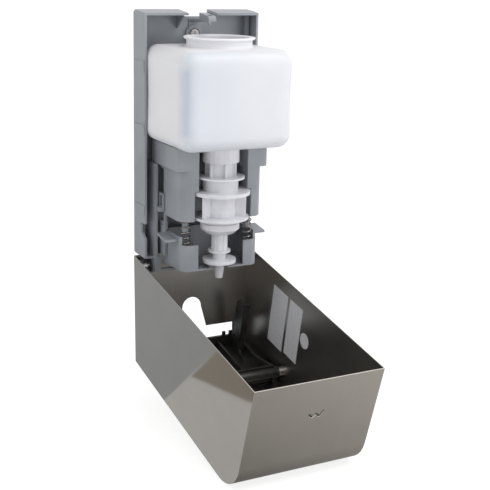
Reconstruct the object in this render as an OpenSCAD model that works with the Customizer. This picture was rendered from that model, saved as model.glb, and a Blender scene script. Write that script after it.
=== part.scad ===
// Wall mounted soap dispenser, shown with its steel cover hanging open on the lower hinge.
// X runs across the wall, Y comes out of the wall as it falls, Z is up.
// Heights below are measured from the bottom edge of the back plate; on_wall() then moves
// the whole part so that its origin is the middle of the four wall screws, on the wall plane.

/* [Back plate] */
// Width of the back plate at the wall
plate_w = 110; // [100:1:130]
// How much narrower each side is at the front edge
plate_draft = 1.6; // [0.8:0.1:3]
// Room from the bottle's lip to the top of the back plate
head_room = 19.5; // [19:0.5:30]
// Depth of the back plate's rim
plate_d = 21.5; // [20:0.5:24]
// Wall thickness of the moulded plastic
plate_wall = 2; // [1.5:0.1:3]
// Drop of the top rim from back to front
plate_top_drop = 2.2; // [1:0.1:4]
// Corner radius in the front view
plate_corner_r = 3; // [1:0.5:8]
// Width of the latch notch in the top rim
notch_w = 27; // [22:1:40]
// Height of each raised side band
band_h = 9; // [5:0.5:14]
// How far a side band stands proud
band_proud = 0.5; // [0.2:0.1:0.5]

/* [Wall screws] */
// Distance between the screw holes across
screw_span_x = 70; // [50:1:80]
// Distance between the screw holes up and down
screw_span_z = 54; // [40:1:60]
// Height of the middle of the screw holes
screw_mid_h = 145; // [140:1:150]
// Radius of a wall screw hole
screw_hole_r = 2.6; // [2:0.1:3.5]

/* [Hinge] */
// Distance of the hinge axis from the wall
hinge_y = 13; // [12:0.5:14]
// Distance of the hinge axis below the back plate
hinge_drop = 8.3; // [7.5:0.1:9]
// Radius of a hinge pin
pin_r = 3; // [2:0.1:3.5]
// Running clearance of a pin in its bore
pin_play = 0.05; // [0.02:0.01:0.09]
// Angle at which the cover hangs open
open_angle = 100; // [80:1:100]

/* [Cover] */
// Gap between the back plate and the steel cover at each side
cover_side_gap = 0.7; // [0.5:0.1:2]
// Sheet thickness
sheet_t = 0.8; // [0.5:0.1:1]
// How far the cover's back edge reaches above the back plate
cover_top_gap = 2.1; // [1.5:0.1:4]
// Gap between the bottle and the front of the closed cover
bottle_front_gap = 7.7; // [4:0.1:12]
// Rise of the bottom panel towards the front
cover_low_rise = 20.4; // [14:0.1:22]
// How much deeper the cover is at its top than at its bottom
cover_deepening = 2.2; // [0:0.1:6]
// Drop of the top panel towards the front
cover_top_drop = 10.5; // [8:0.1:12]
// Bend radius of the top front corner
cover_bend_r = 29.5; // [10:0.5:32]
// Gap between the closed cover's back edge and the wall
cover_gap = 7.7; // [7.2:0.1:9]
// Height of the closed cover's bottom back corner below the back plate
cover_drop = 19.6; // [19:0.1:21]

/* [Bottle] */
// Gap between the bottle and each side of the back plate
bottle_side_gap = 0.6; // [0.4:0.1:6]
// Depth of the bottle
bottle_d = 92; // [80:1:92]
// Height of the bottle's body
bottle_h = 81; // [60:1:82]
// Wall thickness of the bottle
bottle_wall = 1.4; // [0.8:0.1:2.5]
// Rounding of the bottle's edges
bottle_r = 11; // [6:0.5:14]
// Outer radius of the filling neck
mouth_r = 27.5; // [20:0.5:30]
// Height of the filling neck
mouth_h = 8.5; // [6:0.5:9]
// How far the lip of the filling neck stands out
lip_out = 2.5; // [1.5:0.5:3.5]

/* [Pump] */
// Distance of the pump's axis from the wall
pump_y = 60.5; // [58:0.5:62]
// Inner radius of the pump's barrel
barrel_r = 9; // [8:0.1:10]
// Radius of the pump's stem
stem_r = 7; // [6:0.1:7.5]
// Radius of the stem's lifting disc
disc_r = 14.5; // [12:0.5:15]
// Number of fins round the barrel
barrel_fins = 3; // [2:1:8]
// Number of flutes in the stem
stem_flutes = 8; // [6:1:12]

/* [Carriage] */
// Wall thickness of the carriage and of the pump bracket
frame_wall = 2; // [1.5:0.1:2.4]
// Outer radius of a carriage spring
spring_r = 4.8; // [4:0.1:5.5]
// Wire radius of a carriage spring
wire_r = 0.55; // [0.4:0.05:0.7]
// Curls of a carriage spring
spring_curls = 9; // [6:1:10]

/* [Push lever] */
// Width of the cover's front left at each side of the push plate
push_side_w = 9.5; // [9.5:0.5:16]
// Height of the push plate
push_h = 66; // [50:1:68]
// Gap around the push plate
push_gap = 0.5; // [0.3:0.1:1]
// Wall thickness of the lever
lever_wall = 2.5; // [2:0.1:3]
// Radius of the lever's axle
axle_r = 2; // [1.5:0.1:2.5]
// Height of the lever's two lifting arms
arm_h = 14; // [10:0.5:15]

/* [Hidden] */

$fn = 48;
// Overrun of every cut
cut = 1;
// Clearance between pieces that only rest on each other
seat_gap = 0.3;
// Clearance between pieces that slide
slide_gap = 0.5;
// Points per turn and sides of a wound wire, and how far apart two of its points are compared
turn_points = 8;
wire_sides = 6;
wire_skip = 5;
// Steps round the cover's bend, and facets of ribs and of small round cuts
bend_steps = 8;
rib_fn = 8;
small_fn = 16;
grey = "#8f9396";
dark_grey = "#6d7175";
steel = "#b9b6b0";
white = "#eef0f4";
black = "#2b2b2c";
paper = "#c9ccd2";

// Back plate, derived
bottle_low_h = 105;
plate_h = bottle_low_h + bottle_h + mouth_h + head_room;
plate_front_half = plate_w / 2 - plate_draft;
plate_inner_half = plate_front_half - plate_wall;
band_low_h = 39;
band_mid_h = 109.3;
band_top_h = 163.2;
band_heights = [band_low_h, band_mid_h, band_top_h];
band_margin = 1;
corner_post_w = 4;
corner_post_d = 6;
side_notch_top_h = 31.5;
side_notch_low_h = 17.5;
side_notch_in = 8.5;
side_notch_step = 7.5;
side_notch_lean = 1;
cheek_t = 2.4;
cheek_gap = 3.6;
cheek_proud = 3;
cheek_d = plate_d + cheek_proud;
cheek_top_gap = 0.3;
post_w = 5.6;
post_r = 7;
post_drop = 5.7;
post_low_h = -hinge_drop - post_drop;
cross_bar_t = 2;
cross_bar_d = 4;
floor_gap_side = 4.5;
floor_shelf_d = 10;
boss_r = 4;
boss_d = 6;
boss_x = 20;
boss_low_h = 12;
boss_top_h = 72;
boss_heights = [boss_low_h, boss_top_h];
screw_r = 1.25;
screw_head_r = 3;
screw_head_t = 2;
screw_tip_y = 3;
screw_cross_w = 0.6;
screw_cross_share = 0.67;
gusset_x = 15;
gusset_t = 1.6;
gusset_h = 14;
gusset_d = 15;
notch_drop = 6;
notch_low_h = plate_h - notch_drop;
finger_gap = 0.6;
finger_t = 1.8;
finger_low_h = 49;
finger_h = 8;
hook_back_y = 22.8;
hook_front_y = 32;
hook_low_h = 47;
hook_h = 13;
hook_rim = 1.6;
thumb_h = 4.5;
thumb_back_y = 25.2;
thumb_out = 2.6;
nose_back_y = 24;
nose_in = 1.8;

// Pump widths, and what they set outwards to the hinge cheeks
barrel_wall = 4.5;
barrel_out_r = barrel_r + barrel_wall;
fin_reach = 8.9;
fin_turn = 84;
fin_out_r = barrel_out_r + fin_reach;
flange_3_out = 2.3;
flange_3_r = fin_out_r + flange_3_out;
flange_2_out = 1;
flange_2_r = flange_3_r + flange_2_out;
flange_hold = 2.7;
flange_side_gap = 0.9;
slot_upper_half = flange_2_r - flange_hold;
slot_lower_half = flange_2_r + flange_side_gap;
spring_room = 10.4;
side_half = slot_lower_half + frame_wall + spring_room;
carriage_half = side_half - frame_wall - slide_gap;
carriage_w = 2 * carriage_half;
cheek_out_x = side_half + cheek_gap + cheek_t;
floor_gap_half = carriage_half + floor_gap_side;
finger_x = side_half + finger_gap;
bottle_w = 2 * (plate_inner_half - bottle_side_gap);

// Hinge, derived
hinge_z = -hinge_drop;
bore_r = pin_r + pin_play;
bush_r = 5.2;
bush_share = 0.58;
washer_r = 5.6;
washer_t = 1;
pin_head_r = 4.5;
pin_head_t = 2;
pin_in_x = cheek_out_x - post_w - seat_gap;

// Cover, derived
cover_in_half = plate_w / 2 + cover_side_gap;
cover_half = cover_in_half + sheet_t;
cover_w = 2 * cover_half;
cover_h = cover_drop + plate_h + cover_top_gap;
bottle_back_y = 5.2;
cover_low_d = bottle_back_y + bottle_d + bottle_front_gap + sheet_t - cover_gap;
cover_top_d = cover_low_d + cover_deepening;
bush_in_x = cover_in_half - bush_share * (cover_in_half - cheek_out_x);
push_w = cover_w - 2 * push_side_w;
front_lean = (cover_low_d - cover_top_d) / (cover_h - cover_top_drop - cover_low_rise);
arch_back = 7.9;
arch_top_d = pump_y - cover_gap - arch_back;
arch_r = 9.5;
arch_foot_half = 15.1;
panel_short = 24;
panel_front_d = cover_low_d - panel_short;
slot_side = 4.6;
slot_half = push_w / 2 - slot_side;
key_slot_d = 33.5;
key_slot_x = 2;
key_slot_w = 12;
key_slot_h = 2.8;
key_stroke_w = 1.5;
key_last_h = 1.6;
key_limbs = 4;
catch_t = 1;
catch_half = 1.7;
catch_flange_d = 9;
catch_in = 2.8;
catch_floor_gap = 0.8;
sticker_t = 0.15;
sticker_back_d = 13.5;
sticker_lower_w = 55.5;
sticker_lower_h = 26;
sticker_low_h = 62;
sticker_upper_w = 53.5;
sticker_upper_h = 22;
sticker_apart = 4;
sticker_round_r = 7;
sticker_round_d = 38.8;
sticker_round_up = 60.6;

// Latch, derived
latch_half = 3.6;
latch_leg_half = 5;
latch_leg_t = 1.2;
latch_root_gap = 0.1;
latch_screw_drop = 21;
latch_screw_h = plate_h - latch_screw_drop;
latch_tip_y = 0.6;
latch_boss_r = 8;
latch_boss_t = 2.2;
latch_recess_r = 5.2;
latch_head_r = 4.1;
latch_head_t = 1.8;
latch_top_drop = 8;
latch_bridge_h = plate_h - latch_top_drop;
latch_bridge_drop = 0.8;
latch_bridge_t = 3;
latch_rim_gap = 0.5;
latch_block_back_y = plate_d - latch_rim_gap;
latch_block_d = 19.2;
latch_block_front_y = latch_block_back_y + latch_block_d;
latch_block_low_h = latch_bridge_h - latch_bridge_drop;
latch_back_h = 7;
latch_back_top_h = latch_block_low_h + latch_back_h;
latch_slope = 2;
latch_front_top_h = latch_back_top_h - latch_slope;
latch_ramp = 1.5;
latch_wall = 1.4;
latch_floor_t = 1.8;
latch_floor_h = latch_block_low_h + latch_floor_t;
latch_back_w = 10;
latch_groove_back_y = latch_block_back_y + latch_back_w;
latch_groove_w = 6.5;
latch_groove_front_y = latch_groove_back_y + latch_groove_w;
latch_nib_drop = 2.7;
latch_nib_h = latch_block_low_h - latch_nib_drop;
latch_nib_w = 2;
catch_lip_d = latch_groove_back_y - cover_gap + catch_in;
catch_lip_low_h = latch_floor_h + catch_floor_gap;

// Bottle, derived
mouth_y = 53.5;
mouth_bore_r = mouth_r - bottle_wall * 2;
lip_h = 2.2;
outlet_neck_r = 13.2;
outlet_neck_h = 9.5;
outlet_neck_low_h = bottle_low_h - outlet_neck_h;
outlet_bore_r = 11;

// Pump, derived
nut_wall = 2.2;
nut_r = outlet_neck_r + nut_wall;
nut_drop = 4.5;
nut_low_h = outlet_neck_low_h - nut_drop;
nut_h = 13;
nut_lip_t = 1.5;
nut_ribs = 24;
nut_rib_r = 0.5;
gasket_t = 1;
spigot_r = 11.8;
spigot_flange_t = outlet_neck_low_h - gasket_t - nut_low_h - nut_lip_t;
ribbed_r = 10.5;
ribbed_out_r = 13.6;
ribbed_ribs = 6;
ribbed_rib_w = 1.6;
flange_1_r = 20.6;
flange_1_h = 77;
flange_1_t = 1.6;
waist_r = 15.3;
flange_2_h = 63.5;
flange_2_t = 3;
fin_t = 2;
flange_3_h = 42;
flange_3_t = 2;
valve_seat_h = 64;
valve_seat_t = 2;
valve_hole_r = 2.2;
inlet_r = 6.5;
inlet_ball_r = 3;
inlet_cage_h = 12;
inlet_cone_h = 3;
spigot_top_h = 100;
cap_ring_r = 19;
cap_ring_t = 2.5;
cap_groove_r = 16;
cap_groove_t = 1.2;
cap_body_r = 17;
cap_low_h = 29;
cap_foot_r = 12.5;
cap_shoulder_h = 33;
cap_plug_top_h = 46;
piston_low_h = 47.5;
piston_h = 6;
piston_in = 1.2;
piston_r = barrel_r - piston_in;
seal_play = 0.05;
seal_low_h = 49;
seal_h = 3;
stem_throat_r = 1.6;
stem_throat_h = 44;
flute_r = 1;
flute_in = 0.6;
stem_flange_out = 2.8;
stem_flange_r = stem_r + stem_flange_out;
stem_flange_h = 11.8;
stem_flange_t = 1.8;
stem_neck_in = 1.25;
stem_neck_r = stem_r - stem_neck_in;
disc_low_h = 2.6;
disc_t = 3;
nozzle_in = 0.55;
nozzle_top_r = stem_neck_r - nozzle_in;
nozzle_tip_r = 3.3;
nozzle_tip_h = -12;
nozzle_bore_r = 2;
nozzle_plug_r = 3;
nozzle_plug_h = 4;
outlet_ball_r = 2.2;
outlet_spring_r = 2.3;
outlet_wire_r = 0.3;
outlet_curls = 5;
outlet_ball_h = stem_throat_h - outlet_ball_r - stem_throat_r;
outlet_spring_low_h = disc_low_h + nozzle_plug_h;

// Pump bracket, derived
bracket_back_y = plate_wall + boss_d;
shelf_out = 4;
column_front_y = 66.5;
shelf_half = side_half + shelf_out;
shelf_front_y = column_front_y;
shelf_low_h = 85.3;
shelf_top_h = bottle_low_h - seat_gap;
shelf_plate_t = 2.5;
shelf_corner_r = 5;
slot_step_h = flange_2_h + flange_2_t + seat_gap;
side_low_h = 4;
column_back_y = 32;
column_low_h = 41.5;
column_corner_r = 11;
window_back_y = 15;
window_front_y = 29;
window_low_h = 31;
window_top_d = 4;
window_top_h = shelf_low_h - window_top_d;
spring_in = 9.6;
spring_x = side_half - spring_in;
spring_y = 53.5;
peg_play = 0.9;
peg_r = spring_r - 2 * wire_r - peg_play;
peg_h = 11;

// Carriage, derived
carriage_floor_t = 1.5;
carriage_floor_h = -1.5;
carriage_back_y = 22;
carriage_front_y = 64;
carriage_side_h = 27;
carriage_step_y = 58;
carriage_front_h = 20;
carriage_gap_half = 21.6;
carriage_corner_r = 8;
tab_back_y = 36;
tab_front_y = 54;
tab_t = 2;
tab_back_h = 27;
tab_front_h = 24.4;
nozzle_notch_half = 7.5;
holder_r = disc_r + seat_gap;
holder_half = 6;
holder_wall = 2;
holder_lip = 1.6;
holder_lip_t = 1.2;
seat_ring_in = 4.5;
seat_ring_r = disc_r - seat_ring_in;
lug_h = 3;
lug_back_y = 19.5;
carriage_back_r = 2.5;

// Push lever, derived: distances from the closed cover's back edge and its bottom corner
pivot_in = 12;
pivot_d = cover_low_d - pivot_in;
pivot_up = 7.1;
axle_end_x = cover_in_half - seat_gap;
axle_bush_r = 4;
axle_bush_l = 4.2;
axle_bush_in_x = cover_in_half - axle_bush_l;
cheek_boss_r = 5;
lever_cheek_in_x = push_w / 2 + push_gap;
lever_cheek_out_x = lever_cheek_in_x + lever_wall;
push_low_h = cover_low_rise + sheet_t + push_gap;
push_top_h = cover_low_rise + push_h;
pivot_h = push_top_h + pivot_up;
push_half = push_w / 2 - push_gap;
web_t = sheet_t + frame_wall;
lever_shelf_up = 1.6;
lever_shelf_h = push_top_h + lever_shelf_up;
lever_shelf_back = 5;
lever_shelf_d = pivot_d - lever_shelf_back;
lever_foot_up = 1.2;
lever_foot_h = push_low_h - push_gap + lever_foot_up;
lever_foot_in = 15;
lever_foot_d = cover_low_d - lever_foot_in;
lever_rib_pitch = 16;
lever_rib_shares = [-3 / 2, -1 / 2, 1 / 2, 3 / 2];
lever_rib_d = 8;
tooth_w = 3;
tooth_d = 4;
tooth_first_x = 29;
tooth_pitch = 7;
arm_side_gap = 1.3;
arm_in_x = carriage_half + arm_side_gap;
arm_w = 6;
arm_out_x = arm_in_x + arm_w;
tab_over = 4.2;
tab_out_x = arm_out_x + tab_over;
arm_short = 3.3;
arm_tip_d = tab_front_y - cover_gap - arm_short;
arm_top_h = 42;
arm_rise = 12;
arm_root_top_h = arm_top_h + arm_rise;
arm_root_in = 8;
arm_root_d = cover_low_d - arm_root_in;
rivet_r = 1.5;
rivet_head_r = 2.8;
rivet_head_t = 1;
rivet_low_up = 15.6;
rivet_top_down = 10.4;
rivet_heights = [cover_low_rise + rivet_low_up, push_top_h - rivet_top_down];
rivet_x = 16;

// Helpers

module on_wall() {
    translate([0, 0, -screw_mid_h]) children();
}

module both_sides() {
    children();
    mirror([1, 0, 0]) children();
}

// A block between two corners
module block(lo, hi) {
    translate(lo) cube(hi - lo);
}

// A side view outline of [y, z] points, pulled from x0 to x1
module side_shape(points, x0, x1) {
    translate([x0, 0, 0]) rotate([90, 0, 90]) linear_extrude(x1 - x0) polygon(points);
}

module rod_x(y, z, r, x0, x1) {
    translate([x0, y, z]) rotate([0, 90, 0]) cylinder(h = x1 - x0, r = r);
}

module rod_y(x, z, r, y0, y1) {
    translate([x, y0, z]) rotate([-90, 0, 0]) cylinder(h = y1 - y0, r = r);
}

// A rectangle with four round corners, drawn from its lowest corner
module round_rect(w, d, r) {
    translate([r, 0]) square([w - 2 * r, d]);
    translate([0, r]) square([w, d - 2 * r]);
    for (x = [r, w - r], y = [r, d - r]) translate([x, y]) circle(r = r);
}

// A turned piece on the pump's axis: a list of [radius, height] points
module turned(points) {
    translate([0, -pump_y, 0]) rotate_extrude() polygon(points);
}

// Swings a piece that is drawn in the closed cover to the open cover
module opened() {
    translate([0, -hinge_y, hinge_z]) rotate([open_angle, 0, 0])
        translate([0, hinge_y, -hinge_z]) children();
}

// A point of the closed cover: depth from its back edge and height from its bottom corner
function cover_point(d, h) = [-cover_gap - d, -cover_drop + h];

// Depth of the cover's front sheet at a height, t behind its outer face
function front_d(h, t) = cover_low_d - (h - cover_low_rise) * front_lean
    - t * sqrt(1 + front_lean * front_lean);

// Height of the bottom and of the top sheet at a depth, t inside their outer faces
function floor_h(d, t) = d * cover_low_rise / cover_low_d
    + t * sqrt(1 + pow(cover_low_rise / cover_low_d, 2));
function roof_h(d, t) = cover_h - d * cover_top_drop / cover_top_d
    - t * sqrt(1 + pow(cover_top_drop / cover_top_d, 2));

// Where the front sheet meets the bottom or the top sheet, t inside the outer faces
function low_corner_d(t) = let (k = cover_low_rise / cover_low_d)
    (front_d(0, t) - front_lean * floor_h(0, t)) / (1 + front_lean * k);
function top_corner_d(t) = let (k = cover_top_drop / cover_top_d)
    (front_d(0, t) - front_lean * roof_h(0, t)) / (1 - front_lean * k);

// The cover's side outline, t inside the outer faces and reaching back to depth d0
function cover_outline(t, d0) = let (
        r = cover_bend_r - t,
        dt = top_corner_d(t),
        roof_a = atan(cover_top_drop / cover_top_d),
        lean_a = atan(front_lean),
        turn = 90 - roof_a + lean_a,
        back = r * tan(turn / 2),
        c = [dt - back * cos(roof_a) - r * sin(roof_a),
            roof_h(dt, t) + back * sin(roof_a) - r * cos(roof_a)],
        steps = bend_steps)
    concat(
        [cover_point(d0, floor_h(d0, t))],
        [cover_point(low_corner_d(t), floor_h(low_corner_d(t), t))],
        [for (i = [steps:-1:0]) let (a = roof_a + turn * i / steps)
            cover_point(c[0] + r * sin(a), c[1] + r * cos(a))],
        [cover_point(d0, roof_h(d0, t))]);

// Wound wire

function wound_path(r, h, curls, w) = let (
        low = 2 * w,
        top = h - 2 * w,
        n = turn_points * curls)
    concat(
        [[r, 0, 0]],
        [for (i = [0:n]) let (a = 360 * i / turn_points)
            [r * cos(a), r * sin(a), low + (top - low) * i / n]],
        [[r, 0, h]]);

function wire_gap(path, w) = let (last = len(path) - 1)
    min([for (i = [0:last - wire_skip], j = [i + wire_skip:last]) norm(path[i] - path[j]) - 2 * w]);

// One unbroken wire of six sides, with straight ends that stand square on what they meet
module wound_wire(r, h, curls, w) {
    path = wound_path(r, h, curls, w);
    last = len(path) - 1;
    sides = wire_sides;
    points = [for (i = [0:last]) let (
            p = path[i],
            t0 = path[min(i + 1, last)] - path[max(i - 1, 0)],
            t = t0 / norm(t0),
            out0 = [p[0], p[1], 0] / norm([p[0], p[1]]),
            out1 = out0 - t * (out0 * t),
            out = out1 / norm(out1),
            up = cross(t, out))
        each [for (k = [0:sides - 1]) p + w * (cos(360 * k / sides) * out + sin(360 * k / sides) * up)]];
    skin = [for (i = [0:last - 1], k = [0:sides - 1]) let (
            a = i * sides + k,
            b = i * sides + (k + 1) % sides)
        each [[a, a + sides, b], [b, a + sides, b + sides]]];
    start = [for (k = [1:sides - 2]) [0, k, k + 1]];
    end = [for (k = [1:sides - 2]) [last * sides, last * sides + k + 1, last * sides + k]];
    polyhedron(points, concat(skin, start, end));
    echo(str("least gap of the wire to itself, mm: ", wire_gap(path, w)));
}

// Back plate

module plate_outline(inset, y_back) {
    half_back = plate_w / 2 - inset;
    half_front = plate_front_half - inset;
    y_front = plate_d + (inset > 0 ? cut : 0);
    polygon([[-half_back, -y_back], [half_back, -y_back], [half_front, -y_front], [-half_front, -y_front]]);
}

module plate_shell() {
    difference() {
        intersection() {
            linear_extrude(plate_h) plate_outline(0, 0);
            side_shape([[0, 0], [0, plate_h], [-plate_d, plate_h - plate_top_drop], [-plate_d, 0]],
                -plate_w, plate_w);
            translate([-plate_w / 2, 0, 0]) rotate([90, 0, 0])
                linear_extrude(plate_d) round_rect(plate_w, plate_h, plate_corner_r);
        }
        intersection() {
            translate([0, 0, plate_wall]) linear_extrude(plate_h) plate_outline(plate_wall, plate_wall);
            side_shape([[0, 0], [0, plate_h - plate_wall],
                [-plate_d - cut, plate_h - plate_wall - plate_top_drop * (1 + cut / plate_d)],
                [-plate_d - cut, 0]], -plate_w, plate_w);
        }
    }
}

module side_bands() {
    for (h = band_heights) translate([0, 0, h]) linear_extrude(band_h) {
        back_half = plate_w / 2 - plate_draft * band_margin / plate_d;
        front_half = plate_front_half + plate_draft * band_margin / plate_d;
        polygon([
            [back_half - plate_wall, -band_margin], [back_half + band_proud, -band_margin],
            [front_half + band_proud, -plate_d + band_margin],
            [front_half - plate_wall, -plate_d + band_margin]]);
    }
}

module hinge_cheek() {
    difference() {
        union() {
            block([cheek_out_x - cheek_t, -cheek_d, 0],
                [cheek_out_x, -plate_wall, shelf_low_h - cheek_top_gap]);
            hull() {
                rod_x(-hinge_y, hinge_z, post_r, cheek_out_x - post_w, cheek_out_x);
                block([cheek_out_x - post_w, -cheek_d, post_low_h + cross_bar_t],
                    [cheek_out_x, -cheek_d + cross_bar_d, plate_wall]);
                block([cheek_out_x - post_w, -hinge_y - post_r, 0],
                    [cheek_out_x, -hinge_y + post_r, plate_wall]);
            }
        }
        rod_x(-hinge_y, hinge_z, bore_r, cheek_out_x - post_w - cut, cheek_out_x + cut);
    }
}

// Arm beside the bracket, with a ring at its end, a thumb tab, and a nose in the bracket's window
module snap_finger() {
    side_shape([[-plate_wall, finger_low_h], [-plate_wall, finger_low_h + finger_h],
        [-hook_back_y - hook_rim, finger_low_h + finger_h], [-hook_back_y - hook_rim, finger_low_h]],
        finger_x, finger_x + finger_t);
    difference() {
        block([finger_x, -hook_front_y, hook_low_h],
            [finger_x + finger_t, -hook_back_y, hook_low_h + hook_h]);
        block([finger_x - cut, -hook_front_y + hook_rim, hook_low_h + hook_rim],
            [finger_x + finger_t + cut, -hook_back_y - hook_rim, hook_low_h + hook_h - hook_rim]);
    }
    block([finger_x, -hook_front_y, hook_low_h - thumb_h + hook_rim],
        [finger_x + finger_t + thumb_out, -thumb_back_y, hook_low_h + hook_rim / 2]);
    block([side_half - nose_in, -window_front_y + slide_gap, hook_low_h - thumb_h + hook_rim],
        [finger_x + finger_t / 2, -nose_back_y, hook_low_h + hook_rim / 2]);
}

module back_plate() on_wall() color(grey) difference() {
    union() {
        plate_shell();
        both_sides() {
            side_bands();
            block([plate_inner_half - corner_post_w, -plate_wall - corner_post_d, plate_wall],
                [plate_inner_half, -plate_wall, plate_h - plate_wall - plate_top_drop]);
            hinge_cheek();
            snap_finger();
            for (h = boss_heights) rod_y(boss_x, h, boss_r, -plate_wall - boss_d, -plate_wall);
        }
        block([-cheek_out_x + cheek_t, -cheek_d, post_low_h + cross_bar_t],
            [cheek_out_x - cheek_t, -cheek_d + cross_bar_d, post_low_h + 2 * cross_bar_t]);
        side_shape([[-plate_wall, plate_h - plate_wall - gusset_h], [-plate_wall, plate_h - plate_wall],
            [-plate_wall - gusset_d, plate_h - plate_wall * 2 - plate_top_drop / 2]],
            -gusset_x - gusset_t, -gusset_x);
    }
    // Latch notch through the top rim
    block([-notch_w / 2, -plate_d - cut, notch_low_h], [notch_w / 2, cut, plate_h + cut]);
    // Opening of the floor for the carriage
    block([-floor_gap_half, -plate_d - cut, -cut / 2], [floor_gap_half, -floor_shelf_d, plate_wall + cut]);
    // Side notches
    both_sides() side_shape([
        [-plate_d - cut, side_notch_top_h], [-plate_d + side_notch_in, side_notch_top_h],
        [-plate_d + side_notch_in - side_notch_lean, side_notch_top_h - side_notch_step],
        [-plate_d - cut, side_notch_low_h]], plate_inner_half - cut, plate_w / 2 + cut);
    // Wall screw holes
    for (x = [-screw_span_x / 2, screw_span_x / 2], z = [-screw_span_z / 2, screw_span_z / 2])
        rod_y(x, screw_mid_h + z, screw_hole_r, -plate_wall - cut, cut);
    // Screw holes for the bracket and the latch
    both_sides() for (h = boss_heights)
        rod_y(boss_x, h, screw_r, -plate_wall - boss_d - cut, -screw_tip_y + plate_wall);
    rod_y(0, latch_screw_h, screw_r, -plate_wall - cut, -latch_tip_y);
}

// Pump bracket

// Outline of a column's outer and front walls, its outer front corner round
module column_outline(inset) {
    w = side_half - slot_upper_half - 2 * inset;
    r = column_corner_r - inset;
    translate([slot_upper_half + inset, -column_front_y + inset]) {
        translate([0, r]) square([w, column_front_y - column_back_y - inset - r + (inset > 0 ? cut : 0)]);
        square([w - r, r]);
        intersection() {
            translate([w - r, r]) circle(r = r);
            square([w, 2 * r]);
        }
    }
}

module column_half() {
    difference() {
        translate([0, 0, column_low_h]) linear_extrude(shelf_low_h + cut - column_low_h) column_outline(0);
        translate([0, 0, column_low_h + frame_wall]) linear_extrude(shelf_low_h) column_outline(frame_wall);
        block([slot_upper_half - cut, -column_front_y - cut, column_low_h - cut],
            [slot_lower_half, -column_back_y + cut, slot_step_h]);
    }
    // Inner wall beside the lower barrel, and the ledge over the wide flange
    block([slot_lower_half, -column_front_y + frame_wall, column_low_h],
        [slot_lower_half + frame_wall, -column_back_y, slot_step_h + frame_wall]);
    block([slot_upper_half, -column_front_y + frame_wall, slot_step_h],
        [slot_lower_half + frame_wall, -column_back_y, slot_step_h + frame_wall]);
    translate([spring_x, -spring_y, column_low_h - peg_h]) cylinder(h = peg_h + frame_wall / 2, r = peg_r);
}

module shelf_outline(inset) {
    translate([-shelf_half + inset, -shelf_front_y + inset])
        round_rect(2 * (shelf_half - inset), shelf_front_y - bracket_back_y - 2 * inset, shelf_corner_r);
}

module slot_outline(grow) {
    translate([0, -pump_y]) circle(r = slot_upper_half + grow);
    translate([-slot_upper_half - grow, -column_front_y - cut])
        square([2 * (slot_upper_half + grow), column_front_y + cut - pump_y]);
}

module pump_bracket() on_wall() color(grey) difference() {
    union() {
        translate([0, 0, shelf_top_h - shelf_plate_t]) linear_extrude(shelf_plate_t) shelf_outline(0);
        translate([0, 0, shelf_low_h]) linear_extrude(shelf_top_h - shelf_low_h) difference() {
            shelf_outline(0);
            shelf_outline(frame_wall);
        }
        translate([0, 0, shelf_low_h]) linear_extrude(shelf_top_h - shelf_low_h) intersection() {
            shelf_outline(0);
            slot_outline(frame_wall);
        }
        block([-side_half, -bracket_back_y - frame_wall, side_low_h],
            [side_half, -bracket_back_y, shelf_top_h - cut]);
        both_sides() {
            block([side_half - frame_wall, -column_back_y, side_low_h],
                [side_half, -bracket_back_y, shelf_low_h + cut]);
            column_half();
        }
    }
    translate([0, 0, slot_step_h + frame_wall + cut]) linear_extrude(shelf_top_h) slot_outline(0);
    both_sides() {
        block([side_half - frame_wall - cut, -window_front_y, window_low_h],
            [side_half + cut, -window_back_y, window_top_h]);
        for (h = boss_heights)
            rod_y(boss_x, h, screw_r + pin_play, -bracket_back_y - frame_wall - cut, -bracket_back_y + cut);
    }
}

module round_head_screw(head_y, tip_y, head_r, head_t) {
    rotate([-90, 0, 0]) {
        difference() {
            translate([0, 0, -head_y - head_t]) cylinder(h = head_t, r = head_r);
            for (a = [0, 90]) rotate([0, 0, a])
                translate([-head_r * screw_cross_share, -screw_cross_w / 2, -head_y - head_t - cut])
                    cube([2 * head_r * screw_cross_share, screw_cross_w, cut + head_t / 2]);
        }
        translate([0, 0, -head_y]) cylinder(h = head_y - tip_y, r = screw_r);
    }
}

module bracket_screws() on_wall() color(steel) both_sides()
    for (h = boss_heights) translate([boss_x, 0, h])
        round_head_screw(bracket_back_y + frame_wall, screw_tip_y - plate_wall / 2,
            screw_head_r, screw_head_t);

// Latch

// Leg and round foot, which carry the bending arm
module latch_base() on_wall() color(grey) difference() {
    union() {
        block([-latch_leg_half, -plate_wall - latch_leg_t, latch_screw_h],
            [latch_leg_half, -plate_wall, latch_bridge_h]);
        rod_y(0, latch_screw_h, latch_boss_r, -plate_wall - latch_boss_t, -plate_wall);
    }
    rod_y(0, latch_screw_h, latch_recess_r, -plate_wall - latch_boss_t - cut, -plate_wall - latch_leg_t);
    rod_y(0, latch_screw_h, screw_r + pin_play, -plate_wall - latch_leg_t - cut, cut);
}

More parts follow.
